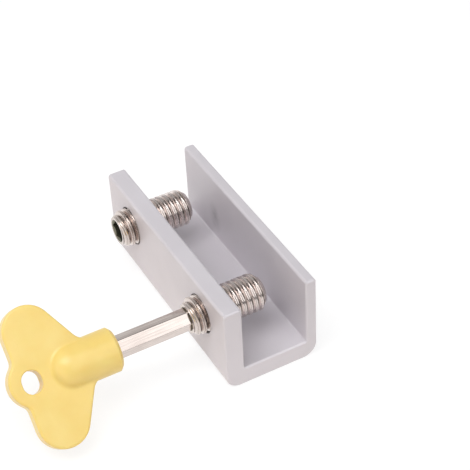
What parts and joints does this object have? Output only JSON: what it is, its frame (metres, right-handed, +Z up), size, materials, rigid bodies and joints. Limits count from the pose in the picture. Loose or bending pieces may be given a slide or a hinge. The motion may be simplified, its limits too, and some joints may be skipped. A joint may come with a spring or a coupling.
{
  "type": "sliding window lock",
  "caption": "Window lock: a metal U-channel that sits over a sliding window's track, grub screws through its thick wall that clamp the track, and a winged hex key seated in the front screw.",
  "frame": {"origin": "middle of the channel's flat outer bottom face", "axes": "+X along the channel towards the end whose screw holds the key, +Y across it from the thick screw wall to the thin jaw wall, +Z up out of the slot's open side"},
  "size_m": [0.0512, 0.0596, 0.0236],
  "materials": {
    "channel": "bead-blasted, clear anodised",
    "screw": "bright machined",
    "key_shank": "bright plated",
    "key_head": "satin moulded plastic"
  },
  "bodies": {
    "channel": {"channel": "channel"},
    "key": {"key_shank": "key_shank", "key_head": "key_head"},
    "front_screw": {"front_screw": "screw"},
    "rear_screw": {"rear_screw": "screw"}
  },
  "joints": [
    {"name": "key_turn", "type": "hinge", "parent": "channel", "child": "key", "pos_m": [0.01525, -0.01295, 0.0126], "axis": [0, 1, 0], "range_deg": [-225, 1215]},
    {"name": "front_screw_advance", "type": "slide", "parent": "key", "child": "front_screw", "axis": [0, 1, 0], "range_m": [-0.0008, 0.00424]},
    {"name": "rear_screw_advance", "type": "slide", "parent": "channel", "child": "rear_screw", "axis": [0, 1, 0], "range_m": [-0.0089, 0.0048]}
  ],
  "couplings": [
    {"joint": "front_screw_advance", "follows": "key_turn", "m_per_rad": 0.00019894}
  ]
}
